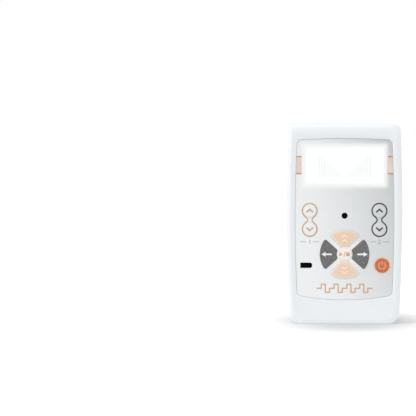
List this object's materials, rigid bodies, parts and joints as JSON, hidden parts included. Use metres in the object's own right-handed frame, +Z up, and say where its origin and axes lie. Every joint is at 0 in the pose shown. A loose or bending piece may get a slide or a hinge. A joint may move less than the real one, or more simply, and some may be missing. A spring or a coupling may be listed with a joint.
{
  "type": "nerve stimulator",
  "caption": "Handheld electrical nerve stimulator: upright rounded casing with a recessed face panel, display window, press keys, output sockets and a hinged battery door.",
  "frame": {"origin": "middle of the box around the unit, at the height of the flat lower end it stands on", "axes": "+Z up the unit's length from its lower end, face towards -Y, +X to the right of someone who faces it"},
  "size_m": [0.085, 0.034, 0.148],
  "materials": {
    "casing": "fine matt moulded",
    "face_film": "velvet printed film",
    "circuit_film": "satin film",
    "spring_steel": "bright rolled",
    "dark_lens": "smoked gloss",
    "clear_window": "polished clear",
    "display_glass": "lit display",
    "light_panel": "milky moulded",
    "strip_rubber": "soft",
    "board": "solder mask",
    "chip_black": "moulded",
    "transformer": "taped winding and core",
    "capacitor": "sleeved",
    "socket_black": "moulded",
    "cell_jacket": "plain printed jacket",
    "contact_nickel": "nickel plated",
    "screw_zinc": "zinc plated",
    "key_pale": "velvet printed film",
    "key_peach": "velvet printed film",
    "key_grey": "velvet printed film",
    "key_orange": "velvet printed film"
  },
  "bodies": {
    "casing": {"front_casing": "casing", "rear_casing": "casing", "keypad_overlay": "face_film", "key_spacer": "face_film", "switch_circuit": "circuit_film", "snap_domes": "spring_steel", "status_light": "dark_lens", "battery_light": "dark_lens", "display_window": "clear_window", "lcd_frame": "spring_steel", "lcd_glass": "display_glass", "lcd_backlight": "light_panel", "lcd_contact_strips": "strip_rubber", "main_board": "board", "indicator_leds": "light_panel", "tail_socket": "light_panel", "controller_chip": "chip_black", "driver_chips": "chip_black", "output_transformers": "transformer", "capacitors": "capacitor", "buzzer": "chip_black", "output_jack_1": "socket_black", "output_jack_2": "socket_black", "battery_cells": "cell_jacket", "battery_contacts": "contact_nickel", "battery_springs": "contact_nickel", "casing_screws": "screw_zinc", "board_screws": "screw_zinc"},
    "battery_door": {"battery_door": "casing"},
    "channel_1_up_key": {"channel_1_up_key": "key_pale"},
    "channel_1_down_key": {"channel_1_down_key": "key_pale"},
    "channel_2_up_key": {"channel_2_up_key": "key_pale"},
    "channel_2_down_key": {"channel_2_down_key": "key_pale"},
    "menu_up_key": {"menu_up_key": "key_peach"},
    "menu_down_key": {"menu_down_key": "key_peach"},
    "back_key": {"back_key": "key_grey"},
    "next_key": {"next_key": "key_grey"},
    "start_stop_key": {"start_stop_key": "key_pale"},
    "power_key": {"power_key": "key_orange"}
  },
  "joints": [
    {"name": "battery_door_hinge", "type": "hinge", "parent": "casing", "child": "battery_door", "pos_m": [0, 0.017, 0.014], "axis": [-1, 0, 0], "range_deg": [0, 75]},
    {"name": "channel_1_up_press", "type": "slide", "parent": "casing", "child": "channel_1_up_key", "axis": [0, 1, 0], "range_m": [0, 0.00035], "stiffness_N_per_m": 4000},
    {"name": "channel_1_down_press", "type": "slide", "parent": "casing", "child": "channel_1_down_key", "axis": [0, 1, 0], "range_m": [0, 0.00035], "stiffness_N_per_m": 4000},
    {"name": "channel_2_up_press", "type": "slide", "parent": "casing", "child": "channel_2_up_key", "axis": [0, 1, 0], "range_m": [0, 0.00035], "stiffness_N_per_m": 4000},
    {"name": "channel_2_down_press", "type": "slide", "parent": "casing", "child": "channel_2_down_key", "axis": [0, 1, 0], "range_m": [0, 0.00035], "stiffness_N_per_m": 4000},
    {"name": "menu_up_press", "type": "slide", "parent": "casing", "child": "menu_up_key", "axis": [0, 1, 0], "range_m": [0, 0.00035], "stiffness_N_per_m": 4000},
    {"name": "menu_down_press", "type": "slide", "parent": "casing", "child": "menu_down_key", "axis": [0, 1, 0], "range_m": [0, 0.00035], "stiffness_N_per_m": 4000},
    {"name": "back_press", "type": "slide", "parent": "casing", "child": "back_key", "axis": [0, 1, 0], "range_m": [0, 0.00035], "stiffness_N_per_m": 4000},
    {"name": "next_press", "type": "slide", "parent": "casing", "child": "next_key", "axis": [0, 1, 0], "range_m": [0, 0.00035], "stiffness_N_per_m": 4000},
    {"name": "start_stop_press", "type": "slide", "parent": "casing", "child": "start_stop_key", "axis": [0, 1, 0], "range_m": [0, 0.00035], "stiffness_N_per_m": 4000},
    {"name": "power_press", "type": "slide", "parent": "casing", "child": "power_key", "axis": [0, 1, 0], "range_m": [0, 0.00035], "stiffness_N_per_m": 4000}
  ]
}
